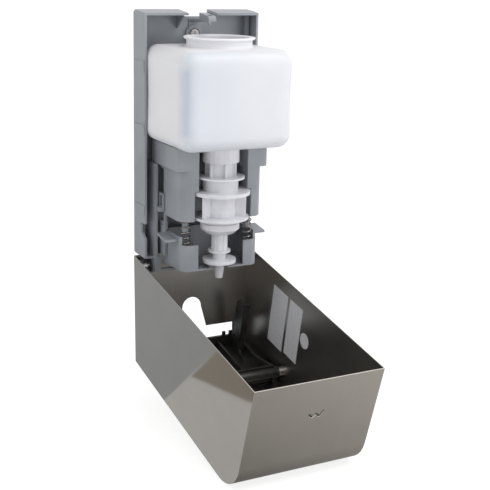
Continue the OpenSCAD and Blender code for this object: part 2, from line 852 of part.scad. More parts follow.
module latch_arm() on_wall() color(grey) {
    root_y = plate_wall + latch_leg_t + latch_root_gap;
    // Bridge from the leg to the block
    side_shape([[-root_y, latch_bridge_h], [-root_y, latch_bridge_h - latch_bridge_t],
        [-latch_block_back_y - latch_wall, latch_block_low_h],
        [-latch_block_back_y - latch_wall, latch_block_low_h + latch_bridge_drop + latch_wall]],
        -latch_half, latch_half);
    // Block with a pocket for the cover's catch
    difference() {
        side_shape([[-latch_block_back_y, latch_block_low_h], [-latch_block_back_y, latch_back_top_h],
            [-latch_block_front_y + latch_ramp, latch_front_top_h],
            [-latch_block_front_y, latch_front_top_h - 2 * latch_ramp],
            [-latch_block_front_y, latch_block_low_h]], -latch_half, latch_half);
        block([-latch_half + latch_wall, -latch_groove_front_y, latch_floor_h],
            [latch_half - latch_wall, -latch_groove_back_y, latch_back_top_h + cut]);
    }
    block([-latch_half, -latch_block_front_y, latch_nib_h],
        [-latch_half + latch_nib_w, -latch_block_front_y + latch_nib_w, latch_block_low_h + latch_wall]);
}

module latch_screw() on_wall() color(steel) translate([0, 0, latch_screw_h])
    round_head_screw(plate_wall + latch_leg_t, latch_tip_y, latch_head_r, latch_head_t);

// Bottle

// A box rounded along all its edges: three rounded prisms that share one volume
module bottle_form(inset) {
    w = bottle_w - 2 * inset;
    d = bottle_d - 2 * inset;
    h = bottle_h - 2 * inset;
    r = bottle_r - inset;
    translate([-w / 2, -bottle_back_y - inset, bottle_low_h + inset]) intersection() {
        translate([0, -d, 0]) linear_extrude(h) round_rect(w, d, r);
        rotate([90, 0, 0]) linear_extrude(d) round_rect(w, h, r);
        rotate([90, 0, 90]) linear_extrude(w) translate([-d, 0]) round_rect(d, h, r);
    }
}

module bottle() on_wall() color(white) difference() {
    union() {
        bottle_form(0);
        translate([0, -mouth_y, bottle_low_h + bottle_h - bottle_wall / 2]) {
            cylinder(h = mouth_h + bottle_wall / 2, r = mouth_r);
            translate([0, 0, mouth_h + bottle_wall / 2 - lip_h]) cylinder(h = lip_h, r = mouth_r + lip_out);
        }
        translate([0, -pump_y, outlet_neck_low_h])
            cylinder(h = bottle_low_h + bottle_wall / 2 - outlet_neck_low_h, r = outlet_neck_r);
    }
    bottle_form(bottle_wall);
    translate([0, -mouth_y, bottle_low_h + bottle_h - 2 * bottle_wall])
        cylinder(h = mouth_h + 2 * bottle_wall + cut, r = mouth_bore_r);
    translate([0, -pump_y, outlet_neck_low_h - cut])
        cylinder(h = bottle_low_h - outlet_neck_low_h + 2 * bottle_wall + cut,
            r = outlet_bore_r + bottle_wall / 2);
}

module neck_gasket() on_wall() color(black) turned([
    [outlet_bore_r, outlet_neck_low_h - gasket_t], [outlet_neck_r - seat_gap, outlet_neck_low_h - gasket_t],
    [outlet_neck_r - seat_gap, outlet_neck_low_h], [outlet_bore_r, outlet_neck_low_h]]);

module neck_nut() on_wall() color(white) {
    turned([[spigot_r + seat_gap, nut_low_h], [nut_r, nut_low_h], [nut_r, nut_low_h + nut_h],
        [outlet_neck_r, nut_low_h + nut_h], [outlet_neck_r, nut_low_h + nut_lip_t],
        [spigot_r + seat_gap, nut_low_h + nut_lip_t]]);
    for (i = [0:nut_ribs - 1]) translate([0, -pump_y, nut_low_h]) rotate([0, 0, 360 * i / nut_ribs])
        translate([nut_r - nut_rib_r / 2, 0, 0]) cylinder(h = nut_h, r = nut_rib_r, $fn = rib_fn);
}

// Pump

module pump_body() on_wall() color(white) {
    spigot_low = nut_low_h - seat_gap;
    difference() {
        union() {
            turned([
                [0, flange_3_h], [flange_3_r, flange_3_h], [flange_3_r, flange_3_h + flange_3_t],
                [barrel_out_r, flange_3_h + flange_3_t], [barrel_out_r, flange_2_h],
                [flange_2_r, flange_2_h], [flange_2_r, flange_2_h + flange_2_t],
                [waist_r, flange_2_h + flange_2_t], [waist_r, flange_1_h],
                [flange_1_r, flange_1_h], [flange_1_r, flange_1_h + flange_1_t],
                [ribbed_r, flange_1_h + flange_1_t], [ribbed_r, spigot_low],
                [spigot_r, spigot_low], [spigot_r, nut_low_h + nut_lip_t],
                [outlet_neck_r - seat_gap, nut_low_h + nut_lip_t],
                [outlet_neck_r - seat_gap, nut_low_h + nut_lip_t + spigot_flange_t],
                [outlet_bore_r - seat_gap, nut_low_h + nut_lip_t + spigot_flange_t],
                [outlet_bore_r - seat_gap, spigot_top_h], [0, spigot_top_h]]);
            for (i = [0:barrel_fins - 1]) translate([0, -pump_y, flange_3_h + flange_3_t / 2])
                rotate([0, 0, 360 * i / barrel_fins + fin_turn]) translate([0, -fin_t / 2, 0])
                    cube([fin_out_r, fin_t, flange_2_h - flange_3_h]);
            for (i = [0:ribbed_ribs - 1]) translate([0, -pump_y, flange_1_h + flange_1_t / 2])
                rotate([0, 0, 360 * i / ribbed_ribs + fin_turn]) translate([0, -ribbed_rib_w / 2, 0])
                    cube([ribbed_out_r, ribbed_rib_w, spigot_low - seat_gap - flange_1_h - flange_1_t / 2]);
        }
        turned([
            [0, flange_3_h - cut], [barrel_r, flange_3_h - cut], [barrel_r, valve_seat_h],
            [valve_hole_r, valve_seat_h], [valve_hole_r, valve_seat_h + valve_seat_t / 2],
            [inlet_ball_r + seat_gap, valve_seat_h + valve_seat_t + inlet_ball_r / 2],
            [inlet_ball_r + seat_gap, valve_seat_h + valve_seat_t + inlet_cage_h],
            [inlet_r, valve_seat_h + valve_seat_t + inlet_cage_h + inlet_cone_h],
            [inlet_r, spigot_top_h + cut], [0, spigot_top_h + cut]]);
    }
}

module pump_cap() on_wall() color(white) turned([
    [stem_r + pin_play, cap_low_h], [cap_foot_r, cap_low_h], [cap_body_r, cap_shoulder_h],
    [cap_body_r, flange_3_h - cap_ring_t - cap_groove_t],
    [cap_groove_r, flange_3_h - cap_ring_t - cap_groove_t],
    [cap_groove_r, flange_3_h - cap_ring_t], [cap_ring_r, flange_3_h - cap_ring_t],
    [cap_ring_r, flange_3_h], [barrel_r, flange_3_h], [barrel_r, cap_plug_top_h],
    [stem_r + pin_play, cap_plug_top_h]]);

module inlet_ball() on_wall() color(steel)
    translate([0, -pump_y, valve_seat_h + valve_seat_t + inlet_ball_r + seat_gap]) sphere(r = inlet_ball_r);

module pump_stem() on_wall() color(white) difference() {
    turned([
        [0, disc_low_h], [disc_r, disc_low_h], [disc_r, disc_low_h + disc_t],
        [stem_neck_r, disc_low_h + disc_t], [stem_neck_r, stem_flange_h],
        [stem_flange_r, stem_flange_h], [stem_flange_r, stem_flange_h + stem_flange_t],
        [stem_r, stem_flange_h + stem_flange_t], [stem_r, piston_low_h],
        [piston_r, piston_low_h], [piston_r, seal_low_h], [stem_r, seal_low_h],
        [stem_r, seal_low_h + seal_h], [piston_r, seal_low_h + seal_h],
        [piston_r, piston_low_h + piston_h], [0, piston_low_h + piston_h]]);
    turned([
        [0, disc_low_h - cut], [nozzle_plug_r, disc_low_h - cut],
        [nozzle_plug_r, stem_throat_h - stem_throat_r],
        [stem_throat_r, stem_throat_h], [stem_throat_r, piston_low_h + piston_h + cut],
        [0, piston_low_h + piston_h + cut]]);
    for (i = [0:stem_flutes - 1]) translate([0, -pump_y, stem_flange_h + stem_flange_t])
        rotate([0, 0, 360 * i / stem_flutes]) translate([stem_r + flute_r - flute_in, 0, 0])
            cylinder(h = cap_low_h - stem_flange_h - stem_flange_t, r = flute_r, $fn = small_fn);
}

module piston_seal() on_wall() color(black) turned([
    [stem_r, seal_low_h], [barrel_r - seal_play, seal_low_h],
    [barrel_r - seal_play, seal_low_h + seal_h], [stem_r, seal_low_h + seal_h]]);

module outlet_ball() on_wall() color(steel)
    translate([0, -pump_y, outlet_ball_h]) sphere(r = outlet_ball_r);

module outlet_spring() on_wall() color(steel)
    translate([0, -pump_y, outlet_spring_low_h])
        wound_wire(outlet_spring_r - outlet_wire_r, outlet_ball_h - outlet_spring_low_h - outlet_ball_r,
            outlet_curls, outlet_wire_r);

module nozzle() on_wall() color(white) turned([
    [nozzle_bore_r, nozzle_tip_h], [nozzle_tip_r, nozzle_tip_h], [nozzle_top_r, disc_low_h],
    [nozzle_plug_r, disc_low_h], [nozzle_plug_r, disc_low_h + nozzle_plug_h],
    [nozzle_bore_r, disc_low_h + nozzle_plug_h]]);

// Carriage

module carriage_outline(inset) {
    w = 2 * (carriage_half - inset);
    d = carriage_front_y - carriage_back_y - 2 * inset;
    r = carriage_corner_r - inset;
    back_r = carriage_back_r - inset;
    translate([-w / 2, -carriage_front_y + inset]) {
        translate([r, 0]) square([w - 2 * r, 2 * r]);
        translate([0, r]) square([w, d - r - back_r]);
        translate([back_r, r]) square([w - 2 * back_r, d - r]);
        for (x = [r, w - r]) translate([x, r]) circle(r = r);
        for (x = [back_r, w - back_r]) translate([x, d - back_r]) circle(r = back_r);
    }
}

// Hook over the back of the stem's disc
module disc_holder() {
    top = disc_low_h + disc_t + seat_gap;
    intersection() {
        turned([
            [holder_r, carriage_floor_h - cut / 2], [holder_r + holder_wall, carriage_floor_h - cut / 2],
            [holder_r + holder_wall, top + holder_lip_t], [holder_r - holder_lip, top + holder_lip_t],
            [holder_r - holder_lip, top], [holder_r, top]]);
        block([-holder_half, -pump_y, carriage_floor_h - cut],
            [holder_half, -carriage_back_y, carriage_front_h]);
    }
}

module carriage() on_wall() color(grey) {
    difference() {
        union() {
            translate([0, 0, carriage_floor_h - carriage_floor_t])
                linear_extrude(carriage_floor_t) carriage_outline(0);
            translate([0, 0, carriage_floor_h]) linear_extrude(carriage_side_h - carriage_floor_h)
                difference() {
                    carriage_outline(0);
                    carriage_outline(frame_wall);
                }
            // Ring that carries the stem's disc
            translate([0, -pump_y, carriage_floor_h])
                cylinder(h = disc_low_h - carriage_floor_h, r = seat_ring_r);
        }
        // Open front between the two arms, and the lower front corners
        block([-carriage_gap_half, -carriage_front_y - seat_ring_r, carriage_floor_h - cut],
            [carriage_gap_half, -carriage_front_y, carriage_side_h + cut]);
        block([-carriage_gap_half, -carriage_front_y - cut, carriage_floor_h],
            [carriage_gap_half, -carriage_front_y + frame_wall, carriage_side_h + cut]);
        block([-carriage_w, -carriage_front_y - cut, carriage_front_h],
            [carriage_w, -carriage_step_y, carriage_side_h + cut]);
        // Slot for the nozzle
        translate([0, -pump_y, carriage_floor_h - carriage_floor_t - cut])
            cylinder(h = carriage_side_h, r = nozzle_notch_half);
        block([-nozzle_notch_half, -carriage_front_y - cut, carriage_floor_h - carriage_floor_t - cut],
            [nozzle_notch_half, -pump_y, carriage_side_h]);
    }
    disc_holder();
    both_sides() {
        // Tab that the lever's arm lifts
        side_shape([[-tab_back_y, tab_back_h - tab_t], [-tab_back_y, tab_back_h],
            [-tab_front_y, tab_front_h], [-tab_front_y, tab_front_h - tab_t]],
            carriage_half - frame_wall, tab_out_x);
        translate([spring_x, -spring_y, carriage_floor_h - carriage_floor_t / 2])
            cylinder(h = peg_h + carriage_floor_t / 2, r = peg_r);
        // Lug that runs in the bracket's window and stops the carriage
        block([carriage_half - frame_wall, -window_front_y + slide_gap, carriage_side_h - frame_wall],
            [carriage_half, -lug_back_y, window_low_h + seat_gap + lug_h]);
        block([carriage_half - frame_wall, -window_front_y + slide_gap, window_low_h + seat_gap],
            [side_half - slide_gap, -lug_back_y, window_low_h + seat_gap + lug_h]);
    }
}

module carriage_spring() {
    translate([-spring_x, -spring_y, carriage_floor_h]) rotate([0, 0, 180])
        wound_wire(spring_r - wire_r, column_low_h - carriage_floor_h, spring_curls, wire_r);
}

module spring_left() on_wall() color(steel) carriage_spring();

module spring_right() on_wall() color(steel) mirror([1, 0, 0]) carriage_spring();

// Cover

function key_point(i) = [-key_slot_w / 2 + i * key_slot_w / key_limbs,
    key_slot_h * (1 / 2 - i % 2) + (i == key_limbs ? key_last_h : 0)];

module key_slot() {
    for (i = [0:key_limbs - 1]) hull() {
        translate(key_point(i)) circle(r = key_stroke_w / 2, $fn = small_fn);
        translate(key_point(i + 1)) circle(r = key_stroke_w / 2, $fn = small_fn);
    }
}

module cover_shell() on_wall() opened() color(steel) difference() {
    side_shape(cover_outline(0, 0), -cover_half, cover_half);
    side_shape(cover_outline(sheet_t, -cut), -cover_in_half, cover_in_half);
    // Arch for the nozzle
    low = -cover_drop - cut;
    top = -cover_drop + cover_low_rise - sheet_t;
    translate([0, -cover_gap - arch_top_d - arch_r, low]) cylinder(h = top - low, r = arch_r);
    translate([0, -cover_gap, low]) linear_extrude(top - low) polygon([
        [-arch_r, -arch_top_d - arch_r], [arch_r, -arch_top_d - arch_r],
        [arch_foot_half, -panel_front_d - cut], [-arch_foot_half, -panel_front_d - cut]]);
    // Open strip in front of the bottom panel, joined to the push plate's opening
    block([-slot_half, -cover_gap - cover_low_d - cut, low], [slot_half, -cover_gap - panel_front_d, top]);
    front_slab(push_low_h - push_gap, push_top_h + push_gap, -cut, 2 * sheet_t, -push_w / 2, push_w / 2);
    // Key slot
    translate([key_slot_x, -cover_gap - key_slot_d, -cover_drop + cover_h - cover_top_drop])
        linear_extrude(cover_top_drop + cut) key_slot();
}

module cover_ring(d, h, r, bore, x0, x1) {
    p = cover_point(d, h);
    difference() {
        rod_x(p[0], p[1], r, x0, x1);
        rod_x(p[0], p[1], bore, x0 - cut, x1 + cut);
    }
}

module hinge_bushes() on_wall() opened() color(steel) both_sides() difference() {
    rod_x(-hinge_y, hinge_z, bush_r, bush_in_x, cover_in_half);
    rod_x(-hinge_y, hinge_z, pin_r, bush_in_x - cut, cover_in_half + cut);
}

module hinge_pins() on_wall() opened() color(steel) both_sides() {
    rod_x(-hinge_y, hinge_z, pin_head_r, pin_in_x - pin_head_t, pin_in_x);
    rod_x(-hinge_y, hinge_z, pin_r, pin_in_x, cover_in_half);
}

module pin_washers() on_wall() opened() color(dark_grey) both_sides() difference() {
    rod_x(-hinge_y, hinge_z, washer_r, cheek_out_x + seat_gap, cheek_out_x + seat_gap + washer_t);
    rod_x(-hinge_y, hinge_z, pin_r, cheek_out_x, cheek_out_x + seat_gap + washer_t + cut);
}

module latch_catch() on_wall() opened() color(steel) {
    under = [for (d = [catch_lip_d - catch_flange_d, catch_lip_d + catch_t])
        cover_point(d, roof_h(d, sheet_t))];
    side_shape([under[0], under[1], under[1] - [0, catch_t], under[0] - [0, catch_t]],
        -catch_half, catch_half);
    side_shape([cover_point(catch_lip_d, roof_h(catch_lip_d, sheet_t)),
        cover_point(catch_lip_d + catch_t, roof_h(catch_lip_d + catch_t, sheet_t)),
        [-cover_gap - catch_lip_d - catch_t, catch_lip_low_h], [-cover_gap - catch_lip_d, catch_lip_low_h]],
        -catch_half, catch_half);
}

module axle_bushes() on_wall() opened() color(steel) both_sides()
    cover_ring(pivot_d, pivot_h, axle_bush_r, axle_r, axle_bush_in_x, cover_in_half);

module lever_axle() on_wall() opened() color(steel) {
    p = cover_point(pivot_d, pivot_h);
    rod_x(p[0], p[1], axle_r, -axle_end_x, axle_end_x);
}

module wall_sticker(low_h, w, h) {
    low = cover_point(sticker_back_d, low_h);
    high = cover_point(sticker_back_d + w, low_h + h);
    block([cover_in_half - sticker_t, high[0], low[1]], [cover_in_half, low[0], high[1]]);
}

module sticker_lower() on_wall() opened() color(paper)
    wall_sticker(sticker_low_h, sticker_lower_w, sticker_lower_h);

module sticker_upper() on_wall() opened() color(paper)
    wall_sticker(sticker_low_h + sticker_lower_h + sticker_apart, sticker_upper_w, sticker_upper_h);

module sticker_round() on_wall() opened() color(paper) {
    p = cover_point(sticker_round_d, sticker_low_h + sticker_round_up);
    rod_x(p[0], p[1], sticker_round_r, cover_in_half - sticker_t, cover_in_half);
}

// Push lever

// A slab that follows the cover's front sheet between two heights, from t0 to t1 behind its face
module front_slab(h0, h1, t0, t1, x0, x1) {
    side_shape([cover_point(front_d(h0, t0), h0), cover_point(front_d(h1, t0), h1),
        cover_point(front_d(h1, t1), h1), cover_point(front_d(h0, t1), h0)], x0, x1);
}

module push_plate() on_wall() opened() color(steel) difference() {
    front_slab(push_low_h, push_top_h, 0, sheet_t, -push_half, push_half);
    both_sides() for (h = rivet_heights) rivet_at(h) rod_y(0, 0, rivet_r, -cut, sheet_t + cut);
}

// Puts a rivet on the push plate, its axis square to the sheet
module rivet_at(h) {
    p = cover_point(front_d(h, 0), h);
    translate([rivet_x, p[0], p[1]]) rotate([-atan(front_lean), 0, 0]) children();
}

module lever_cheek() {
    pivot = cover_point(pivot_d, pivot_h);
    back_t = sheet_t + seat_gap;
    rod_x(pivot[0], pivot[1], cheek_boss_r, lever_cheek_in_x, lever_cheek_out_x);
    rod_x(pivot[0], pivot[1], axle_r + lever_wall, 0, lever_cheek_out_x);
    side_shape([
        cover_point(front_d(push_low_h, back_t), push_low_h),
        cover_point(front_d(pivot_h, back_t), pivot_h),
        cover_point(pivot_d, pivot_h), cover_point(pivot_d - cheek_boss_r, pivot_h),
        cover_point(arm_root_d, arm_root_top_h), cover_point(arm_root_d, push_low_h)],
        lever_cheek_in_x, lever_cheek_out_x);
}

// An angle section that reaches back under the carriage's tab
module lifting_arm() {
    web_d = front_d(arm_top_h, web_t) + frame_wall / 2;
    side_shape([
        cover_point(web_d, arm_top_h - arm_h), cover_point(web_d, arm_root_top_h),
        cover_point(arm_root_d, arm_top_h), cover_point(arm_tip_d, arm_top_h),
        cover_point(arm_tip_d, arm_top_h - arm_h + frame_wall),
        cover_point(arm_tip_d + arm_h, arm_top_h - arm_h)],
        arm_in_x, arm_in_x + lever_wall);
    side_shape([
        cover_point(web_d, arm_top_h - lever_wall), cover_point(web_d, arm_top_h),
        cover_point(arm_tip_d, arm_top_h), cover_point(arm_tip_d, arm_top_h - lever_wall)],
        arm_in_x, arm_out_x);
}

module push_lever() on_wall() opened() color(black) difference() {
    back_t = sheet_t + seat_gap;
    foot_t = front_d(lever_foot_h, 0) - lever_foot_d;
    union() {
        front_slab(push_low_h, push_top_h, sheet_t, web_t, -push_half, push_half);
        front_slab(lever_shelf_h, lever_shelf_h + frame_wall, back_t,
            front_d(lever_shelf_h, 0) - lever_shelf_d, -lever_cheek_out_x, lever_cheek_out_x);
        front_slab(push_top_h - frame_wall, lever_shelf_h + frame_wall, back_t, web_t + frame_wall,
            -lever_cheek_out_x, lever_cheek_out_x);
        front_slab(lever_foot_h, lever_foot_h + frame_wall, web_t - frame_wall / 2, foot_t,
            -slot_half + slide_gap, slot_half - slide_gap);
        for (x = [tooth_first_x, tooth_first_x + tooth_pitch])
            front_slab(lever_foot_h, lever_foot_h + frame_wall, foot_t - frame_wall, foot_t + tooth_d,
                x, x + tooth_w);
        for (x = lever_rib_pitch * lever_rib_shares)
            front_slab(lever_foot_h, lever_shelf_h, web_t - frame_wall / 2, web_t + lever_rib_d,
                x - frame_wall / 2, x + frame_wall / 2);
        both_sides() {
            front_slab(push_low_h, push_top_h, back_t, web_t + seat_gap,
                push_half - frame_wall, lever_cheek_out_x);
            lever_cheek();
            lifting_arm();
        }
    }
    pivot = cover_point(pivot_d, pivot_h);
    rod_x(pivot[0], pivot[1], axle_r + pin_play, -cover_half, cover_half);
    both_sides() for (h = rivet_heights) rivet_at(h) rod_y(0, 0, rivet_r, 0, web_t + cut);
}

module plate_rivets() on_wall() opened() color(steel) both_sides() for (h = rivet_heights) rivet_at(h) {
    rod_y(0, 0, rivet_r, 0, web_t);
    rod_y(0, 0, rivet_head_r, web_t, web_t + rivet_head_t);
}

back_plate();
pump_bracket();
bracket_screws();
latch_base();
latch_arm();
latch_screw();
bottle();
neck_gasket();
neck_nut();
pump_body();
pump_cap();
inlet_ball();
pump_stem();
piston_seal();
outlet_ball();
outlet_spring();
nozzle();
carriage();
spring_left();
spring_right();
cover_shell();
hinge_bushes();
hinge_pins();
pin_washers();
latch_catch();
axle_bushes();
lever_axle();
sticker_lower();
sticker_upper();
sticker_round();
push_plate();
push_lever();
plate_rivets();
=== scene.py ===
"""Wall soap dispenser with its steel cover hanging open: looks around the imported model."""
import math

import bpy
from mathutils import Matrix, Vector


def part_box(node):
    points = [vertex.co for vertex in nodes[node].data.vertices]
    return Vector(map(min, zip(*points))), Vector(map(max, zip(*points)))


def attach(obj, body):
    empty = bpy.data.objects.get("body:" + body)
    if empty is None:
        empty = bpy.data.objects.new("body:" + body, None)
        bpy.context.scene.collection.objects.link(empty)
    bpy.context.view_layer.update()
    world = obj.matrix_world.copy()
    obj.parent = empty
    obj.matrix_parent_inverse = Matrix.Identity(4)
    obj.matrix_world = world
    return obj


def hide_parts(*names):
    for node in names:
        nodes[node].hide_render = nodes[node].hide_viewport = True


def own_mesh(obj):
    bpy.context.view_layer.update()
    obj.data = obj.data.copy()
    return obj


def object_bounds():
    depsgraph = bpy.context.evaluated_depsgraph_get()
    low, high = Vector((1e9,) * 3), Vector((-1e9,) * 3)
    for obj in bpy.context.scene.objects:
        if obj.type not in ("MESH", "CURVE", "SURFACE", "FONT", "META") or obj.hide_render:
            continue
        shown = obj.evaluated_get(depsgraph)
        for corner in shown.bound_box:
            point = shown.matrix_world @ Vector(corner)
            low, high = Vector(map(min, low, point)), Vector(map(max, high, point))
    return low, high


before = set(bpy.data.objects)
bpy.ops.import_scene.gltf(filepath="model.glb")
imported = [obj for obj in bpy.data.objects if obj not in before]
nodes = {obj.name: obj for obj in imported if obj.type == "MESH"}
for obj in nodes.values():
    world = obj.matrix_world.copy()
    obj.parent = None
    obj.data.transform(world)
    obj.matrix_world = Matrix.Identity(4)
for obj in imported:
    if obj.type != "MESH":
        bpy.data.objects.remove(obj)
cad_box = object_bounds()
MM = 0.001

# Which finish each CAD node has
GREY_MOULDINGS = ["back_plate", "pump_bracket", "carriage", "latch_base", "latch_arm"]
WHITE_MOULDINGS = ["neck_nut", "pump_body", "pump_cap", "pump_stem", "nozzle"]
SHEET_PARTS = ["push_plate", "latch_catch"]
TURNED_STEEL = ["bracket_screws", "latch_screw", "hinge_pins", "hinge_bushes", "axle_bushes",
                "lever_axle", "plate_rivets", "inlet_ball", "outlet_ball"]
RUBBER_RINGS = ["neck_gasket", "piston_seal"]
STICKERS = ["sticker_lower", "sticker_upper", "sticker_round"]

# Camera, from the photograph's vanishing lines, in metres, degrees and millimetres of lens
CAMERA_PLACE = (-0.3846, -0.8348, 0.1079)
CAMERA_YAW = 27.89
CAMERA_PITCH = 15.22
CAMERA_ROLL = 1.46
CAMERA_LENS = 75.87
SENSOR_WIDTH = 36
CLIP_START = 0.01
CLIP_END = 100

# Edge rounding of the pieces, in millimetres
MOULD_EDGE = 0.35
LEVER_EDGE = 0.3
SHEET_EDGE = 0.22
TURNED_EDGE = 0.2
# Points closer than this become one, in millimetres
WELD_GAP = 0.002
# Edges above the first angle are rounded, and above the second shaded sharp, in degrees
ROUND_ABOVE = 40
SHARP_ABOVE = 28


# Node and colour helpers

def linear(hex_colour):
    """An sRGB hex colour as linear red, green, blue and alpha."""
    channels = [int(hex_colour[i:i + 2], 16) / 255 for i in (1, 3, 5)]
    return [c / 12.92 if c <= 0.04045 else ((c + 0.055) / 1.055) ** 2.4 for c in channels] + [1.0]


def add_node(tree, kind, values=None, links=None, **settings):
    """Adds a node with its settings, its input values and the sockets that feed it."""
    node = tree.nodes.new(kind)
    for name, value in settings.items():
        setattr(node, name, value)
    for name, value in (values or {}).items():
        node.inputs[name].default_value = value
    for name, (source, output) in (links or {}).items():
        tree.links.new(source.outputs[output], node.inputs[name])
    return node


def new_finish(name):
    """An empty material with its shader and the object's own coordinates."""
    finish = bpy.data.materials.new(name)
    finish.use_nodes = True
    tree = finish.node_tree
    tree.nodes.clear()
    shader = add_node(tree, "ShaderNodeBsdfPrincipled")
    add_node(tree, "ShaderNodeOutputMaterial", links={"Surface": (shader, "BSDF")})
    place = add_node(tree, "ShaderNodeTexCoord")
    return finish, tree, shader, place


def math_node(tree, operation, *inputs):
    """A math node whose inputs are numbers, or pairs of a node and its output."""
    node = add_node(tree, "ShaderNodeMath", operation=operation)
    for socket, given in zip(node.inputs, inputs):
        if isinstance(given, tuple):
            source, output = given
            tree.links.new(source.outputs[output], socket)
        else:
            socket.default_value = given
    return node


def per_metre(size_mm):
    """Texture scale at which one cell of the pattern is that many millimetres."""
    return 1 / (size_mm * MM)


def noise(tree, place, size_mm, detail):
    """Noise in the object's own coordinates, with cells of that many millimetres."""
    return add_node(tree, "ShaderNodeTexNoise", links={"Vector": (place, "Object")},
                    values={"Scale": per_metre(size_mm), "Detail": detail})


def tone(tree, source, output, dark, light, low=0.35, high=0.65):
    """Spreads a pattern between two colours."""
    ramp = add_node(tree, "ShaderNodeValToRGB", links={"Fac": (source, output)})
    ramp.color_ramp.elements[0].position = low
    ramp.color_ramp.elements[1].position = high
    ramp.color_ramp.elements[0].color = linear(dark)
    ramp.color_ramp.elements[1].color = linear(light)
    return ramp


def spread(tree, source, output, low, high, start=0.3, end=0.7):
    """Spreads a pattern between two numbers."""
    return add_node(tree, "ShaderNodeMapRange", links={"Value": (source, output)},
                    values={"From Min": start, "From Max": end, "To Min": low, "To Max": high})


# A mix node has sockets for every kind of value, and these are the ones for colours
COLOUR_A = 6
COLOUR_B = 7
COLOUR_OUT = 2


def mix_colours(tree, share_socket, first, second):
    """Mixes two colours, each a socket or in hex, and returns the socket of the mix."""
    mix = add_node(tree, "ShaderNodeMix", data_type="RGBA")
    tree.links.new(share_socket, mix.inputs["Factor"])
    for index, colour in ((COLOUR_A, first), (COLOUR_B, second)):
        if isinstance(colour, str):
            mix.inputs[index].default_value = linear(colour)
        else:
            tree.links.new(colour, mix.inputs[index])
    return mix.outputs[COLOUR_OUT]


def raise_pattern(tree, shader, source, output, strength, depth_mm):
    """Gives the finish a fine relief that follows a pattern."""
    bump = add_node(tree, "ShaderNodeBump", links={"Height": (source, output)},
                    values={"Strength": strength, "Distance": depth_mm * MM})
    tree.links.new(bump.outputs["Normal"], shader.inputs["Normal"])


def soak_light(shader, weight, depth_mm):
    """Lets light soak into a pale plastic, all its colours equally deep."""
    shader.inputs["Subsurface Weight"].default_value = weight
    shader.inputs["Subsurface Radius"].default_value = (1.0, 1.0, 1.0)
    shader.inputs["Subsurface Scale"].default_value = depth_mm * MM


# Finishes

PLASTIC_IOR = 1.5
# Cell size of the bottle's slow drift in tone, in millimetres
BOTTLE_DRIFT = 60
# Normals that lean this far along X belong to the cover's side walls
SIDE_FACING = 0.7
# How far the streaks of the sheet raise and lower its roughness
STREAK = 0.02


def moulded(name, dark, light, rough, grain_mm, grain_depth_mm, drift_mm=30, soak=0.0, soak_mm=0.0):
    """An injection moulded plastic or rubber: its tone drifts slowly and its skin has a fine grain."""
    finish, tree, shader, place = new_finish(name)
    drift = noise(tree, place, drift_mm, 3.0)
    grain = noise(tree, place, grain_mm, 2.0)
    colour = tone(tree, drift, "Fac", dark, light)
    sheen = spread(tree, drift, "Fac", rough * 0.88, rough * 1.12)
    tree.links.new(colour.outputs["Color"], shader.inputs["Base Color"])
    tree.links.new(sheen.outputs["Result"], shader.inputs["Roughness"])
    raise_pattern(tree, shader, grain, "Fac", 0.6, grain_depth_mm)
    shader.inputs["IOR"].default_value = PLASTIC_IOR
    if soak:
        soak_light(shader, soak, soak_mm)
    return finish


def blown(name, dark, light, painted_shade, rough, grain_mm, grain_depth_mm, soak, soak_mm):
    """Cloudy blown plastic: even and milky, with a painted bluish shade that spreads from one corner."""
    finish, tree, shader, place = new_finish(name)
    drift = noise(tree, place, BOTTLE_DRIFT, 2.0)
    grain = noise(tree, place, grain_mm, 2.0)
    even = tone(tree, drift, "Fac", dark, light)
    # Painted shade: a bluish colour mixed in by the share each point stores, darkening the front left corner
    # and the front
    shade = add_node(tree, "ShaderNodeAttribute", attribute_name="painted_shade")
    colour = mix_colours(tree, shade.outputs["Fac"], even.outputs["Color"], painted_shade)
    tree.links.new(colour, shader.inputs["Base Color"])
    raise_pattern(tree, shader, grain, "Fac", 0.5, grain_depth_mm)
    shader.inputs["Roughness"].default_value = rough
    soak_light(shader, soak, soak_mm)
    return finish


